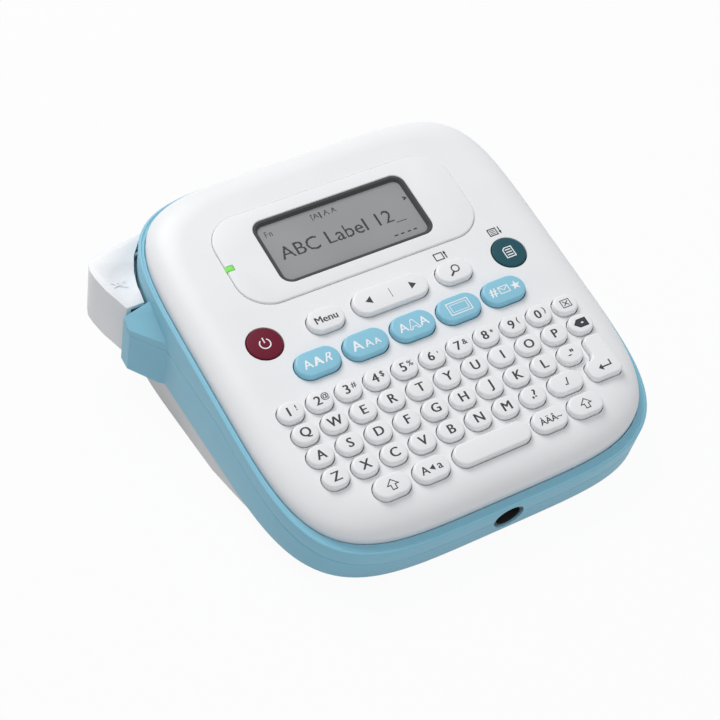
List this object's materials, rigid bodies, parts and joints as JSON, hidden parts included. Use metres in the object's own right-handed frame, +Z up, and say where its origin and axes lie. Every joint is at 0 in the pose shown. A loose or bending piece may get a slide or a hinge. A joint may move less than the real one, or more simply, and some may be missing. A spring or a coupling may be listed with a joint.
{
  "type": "desktop label maker",
  "caption": "Handheld desktop label maker with sloping keyboard deck, display, tape exit with cutter lever, tape cassette, battery bay and base tray.",
  "frame": {"origin": "centre of the bounding box's base, on the table", "axes": "+X to the machine's right, +Y from the front edge to the rear, +Z up"},
  "size_m": [0.1556, 0.1552, 0.0677],
  "materials": {
    "white_plastic": "fine matt moulded plastic, keys slightly glossier",
    "blue_case": "light blue matt moulded plastic",
    "blue_key": "light blue keys with a soft sheen",
    "grey_tray": "pale grey matt plastic",
    "rubber": "dark rubber",
    "power_red": "dark red key",
    "print_teal": "dark teal key",
    "window_dark": "smoked window with a dark border",
    "lamp_green": "green light pipe",
    "lcd_glass": "grey liquid crystal panel",
    "silicone": "grey silicone sheet",
    "board_green": "green circuit board",
    "label_white": "white laminated tape",
    "steel": "plain steel",
    "black_plastic": "black plastic",
    "gear_white": "ivory acetal",
    "brass": "turned brass",
    "cell_wrap": "printed cell sleeve"
  },
  "bodies": {
    "base": {"bottom_cover": "grey_tray", "rubber_feet": "rubber"},
    "machine": {"top_cover": "white_plastic", "display_bezel": "white_plastic", "display_window": "window_dark", "status_lamp": "lamp_green", "upper_case": "blue_case", "lower_case": "blue_case", "lcd_module": "lcd_glass", "keypad_mat": "silicone", "main_board": "board_green", "case_screws": "steel", "cutter_pin": "steel", "cutter_spring": "steel", "cassette_case": "grey_tray", "label_tape": "label_white", "holder_pin": "steel", "print_head": "black_plastic", "drive_motor": "steel", "gear_plate": "steel", "battery_cells": "cell_wrap", "battery_contacts": "steel", "power_jack": "black_plastic"},
    "lever": {"cutter_lever": "white_plastic"},
    "carriage": {"cutter_carriage": "black_plastic", "cutter_blade": "steel"},
    "holder": {"roller_holder": "grey_tray"},
    "platen": {"platen_roller": "rubber", "platen_gear": "gear_white"},
    "idler": {"idler_gear": "gear_white"},
    "rewind": {"rewind_gear": "gear_white", "ribbon_takeup": "black_plastic"},
    "transfer": {"transfer_gear": "gear_white"},
    "pinion": {"motor_pinion": "brass"},
    "roll": {"label_roll": "label_white"},
    "supply": {"ribbon_supply": "black_plastic"},
    "power_key_body": {"power_key": "power_red"},
    "menu_key_body": {"menu_key": "white_plastic"},
    "search_key_body": {"search_key": "white_plastic"},
    "print_key_body": {"print_key": "print_teal"},
    "font_key_body": {"font_key": "blue_key"},
    "size_key_body": {"size_key": "blue_key"},
    "style_key_body": {"style_key": "blue_key"},
    "frame_key_body": {"frame_key": "blue_key"},
    "symbol_key_body": {"symbol_key": "blue_key"},
    "clear_key_body": {"clear_key": "white_plastic"},
    "backspace_key_body": {"backspace_key": "white_plastic"},
    "enter_key_body": {"enter_key": "white_plastic"},
    "period_key_body": {"period_key": "white_plastic"},
    "left_shift_key_body": {"left_shift_key": "white_plastic"},
    "caps_key_body": {"caps_key": "white_plastic"},
    "space_key_body": {"space_key": "white_plastic"},
    "accent_key_body": {"accent_key": "white_plastic"},
    "right_shift_key_body": {"right_shift_key": "white_plastic"},
    "number_keys_body": {"number_keys": "white_plastic"},
    "upper_letter_keys_body": {"upper_letter_keys": "white_plastic"},
    "middle_letter_keys_body": {"middle_letter_keys": "white_plastic"},
    "lower_letter_keys_body": {"lower_letter_keys": "white_plastic"},
    "cursor_body": {"cursor_key": "white_plastic"}
  },
  "joints": [
    {"name": "machine_tilt", "type": "hinge", "parent": "base", "child": "machine", "pos_m": [0.006, -0.07359, 0.00242], "axis": [1, 0, 0], "range_deg": [0, 55]},
    {"name": "power_key_press", "type": "slide", "parent": "machine", "child": "power_key_body", "axis": [0, 0.289, -0.9573], "range_m": [0, 0.0012], "stiffness_N_per_m": 400, "springref_m": -0.0004},
    {"name": "menu_key_press", "type": "slide", "parent": "machine", "child": "menu_key_body", "axis": [0, 0.289, -0.9573], "range_m": [0, 0.0012], "stiffness_N_per_m": 400, "springref_m": -0.0004},
    {"name": "search_key_press", "type": "slide", "parent": "machine", "child": "search_key_body", "axis": [0, 0.289, -0.9573], "range_m": [0, 0.0012], "stiffness_N_per_m": 400, "springref_m": -0.0004},
    {"name": "print_key_press", "type": "slide", "parent": "machine", "child": "print_key_body", "axis": [0, 0.289, -0.9573], "range_m": [0, 0.0012], "stiffness_N_per_m": 400, "springref_m": -0.0004},
    {"name": "font_key_press", "type": "slide", "parent": "machine", "child": "font_key_body", "axis": [0, 0.289, -0.9573], "range_m": [0, 0.0012], "stiffness_N_per_m": 400, "springref_m": -0.0004},
    {"name": "size_key_press", "type": "slide", "parent": "machine", "child": "size_key_body", "axis": [0, 0.289, -0.9573], "range_m": [0, 0.0012], "stiffness_N_per_m": 400, "springref_m": -0.0004},
    {"name": "style_key_press", "type": "slide", "parent": "machine", "child": "style_key_body", "axis": [0, 0.289, -0.9573], "range_m": [0, 0.0012], "stiffness_N_per_m": 400, "springref_m": -0.0004},
    {"name": "frame_key_press", "type": "slide", "parent": "machine", "child": "frame_key_body", "axis": [0, 0.289, -0.9573], "range_m": [0, 0.0012], "stiffness_N_per_m": 400, "springref_m": -0.0004},
    {"name": "symbol_key_press", "type": "slide", "parent": "machine", "child": "symbol_key_body", "axis": [0, 0.289, -0.9573], "range_m": [0, 0.0012], "stiffness_N_per_m": 400, "springref_m": -0.0004},
    {"name": "clear_key_press", "type": "slide", "parent": "machine", "child": "clear_key_body", "axis": [0, 0.289, -0.9573], "range_m": [0, 0.0012], "stiffness_N_per_m": 400, "springref_m": -0.0004},
    {"name": "backspace_key_press", "type": "slide", "parent": "machine", "child": "backspace_key_body", "axis": [0, 0.289, -0.9573], "range_m": [0, 0.0012], "stiffness_N_per_m": 400, "springref_m": -0.0004},
    {"name": "enter_key_press", "type": "slide", "parent": "machine", "child": "enter_key_body", "axis": [0, 0.289, -0.9573], "range_m": [0, 0.0012], "stiffness_N_per_m": 400, "springref_m": -0.0004},
    {"name": "period_key_press", "type": "slide", "parent": "machine", "child": "period_key_body", "axis": [0, 0.289, -0.9573], "range_m": [0, 0.0012], "stiffness_N_per_m": 400, "springref_m": -0.0004},
    {"name": "left_shift_key_press", "type": "slide", "parent": "machine", "child": "left_shift_key_body", "axis": [0, 0.289, -0.9573], "range_m": [0, 0.0012], "stiffness_N_per_m": 400, "springref_m": -0.0004},
    {"name": "caps_key_press", "type": "slide", "parent": "machine", "child": "caps_key_body", "axis": [0, 0.289, -0.9573], "range_m": [0, 0.0012], "stiffness_N_per_m": 400, "springref_m": -0.0004},
    {"name": "space_key_press", "type": "slide", "parent": "machine", "child": "space_key_body", "axis": [0, 0.289, -0.9573], "range_m": [0, 0.0012], "stiffness_N_per_m": 400, "springref_m": -0.0004},
    {"name": "accent_key_press", "type": "slide", "parent": "machine", "child": "accent_key_body", "axis": [0, 0.289, -0.9573], "range_m": [0, 0.0012], "stiffness_N_per_m": 400, "springref_m": -0.0004},
    {"name": "right_shift_key_press", "type": "slide", "parent": "machine", "child": "right_shift_key_body", "axis": [0, 0.289, -0.9573], "range_m": [0, 0.0012], "stiffness_N_per_m": 400, "springref_m": -0.0004},
    {"name": "number_keys_press", "type": "slide", "parent": "machine", "child": "number_keys_body", "axis": [0, 0.289, -0.9573], "range_m": [0, 0.0012], "stiffness_N_per_m": 4000, "springref_m": -0.0004},
    {"name": "upper_letter_keys_press", "type": "slide", "parent": "machine", "child": "upper_letter_keys_body", "axis": [0, 0.289, -0.9573], "range_m": [0, 0.0012], "stiffness_N_per_m": 4000, "springref_m": -0.0004},
    {"name": "middle_letter_keys_press", "type": "slide", "parent": "machine", "child": "middle_letter_keys_body", "axis": [0, 0.289, -0.9573], "range_m": [0, 0.0012], "stiffness_N_per_m": 4000, "springref_m": -0.0004},
    {"name": "lower_letter_keys_press", "type": "slide", "parent": "machine", "child": "lower_letter_keys_body", "axis": [0, 0.289, -0.9573], "range_m": [0, 0.0012], "stiffness_N_per_m": 3200, "springref_m": -0.0004},
    {"name": "cursor_rock", "type": "hinge", "parent": "machine", "child": "cursor_body", "pos_m": [0.006, 0.00238, 0.04677], "axis": [0, 0.9573, 0.289], "range_deg": [-1.5, 1.5], "stiffness_Nm_per_rad": 0.05},
    {"name": "lever_press", "type": "hinge", "parent": "machine", "child": "lever", "pos_m": [-0.074, 0.06753, 0.04795], "axis": [1, 0, 0], "range_deg": [0, 11], "stiffness_Nm_per_rad": 0.12, "springref_deg": -20.05},
    {"name": "carriage_slide", "type": "slide", "parent": "machine", "child": "carriage", "axis": [0, -0.9573, -0.289], "range_m": [0, 0.0032]},
    {"name": "holder_swing", "type": "hinge", "parent": "machine", "child": "holder", "pos_m": [-0.0345, 0.05541, 0.03478], "axis": [0, 0.289, -0.9573], "range_deg": [0, 6]},
    {"name": "idler_spin", "type": "hinge", "parent": "machine", "child": "idler", "pos_m": [-0.051, 0.03538, 0.04231], "axis": [0, -0.289, 0.9573], "continuous": true},
    {"name": "platen_spin", "type": "hinge", "parent": "holder", "child": "platen", "pos_m": [-0.051, 0.05254, 0.03392], "axis": [0, -0.289, 0.9573], "continuous": true},
    {"name": "rewind_spin", "type": "hinge", "parent": "machine", "child": "rewind", "pos_m": [-0.03456, 0.03213, 0.02775], "axis": [0, -0.289, 0.9573], "continuous": true},
    {"name": "transfer_spin", "type": "hinge", "parent": "machine", "child": "transfer", "pos_m": [-0.02653, 0.04486, 0.04518], "axis": [0, -0.289, 0.9573], "continuous": true},
    {"name": "pinion_spin", "type": "hinge", "parent": "machine", "child": "pinion", "pos_m": [-0.02042, 0.05584, 0.04849], "axis": [0, -0.289, 0.9573], "continuous": true},
    {"name": "roll_spin", "type": "hinge", "parent": "machine", "child": "roll", "pos_m": [-0.0034, 0.03196, 0.0277], "axis": [0, -0.289, 0.9573], "continuous": true},
    {"name": "supply_spin", "type": "hinge", "parent": "machine", "child": "supply", "pos_m": [-0.0338, 0.01578, 0.02282], "axis": [0, -0.289, 0.9573], "continuous": true}
  ],
  "couplings": [
    {"joint": "carriage_slide", "follows": "lever_press", "m_per_rad": 0.016667},
    {"joint": "platen_spin", "follows": "idler_spin", "ratio": -1.8},
    {"joint": "rewind_spin", "follows": "idler_spin", "ratio": -1},
    {"joint": "transfer_spin", "follows": "idler_spin", "ratio": 0.9},
    {"joint": "pinion_spin", "follows": "idler_spin", "ratio": -3},
    {"joint": "roll_spin", "follows": "idler_spin", "ratio": 0.45},
    {"joint": "supply_spin", "follows": "idler_spin", "ratio": -1.2}
  ]
}
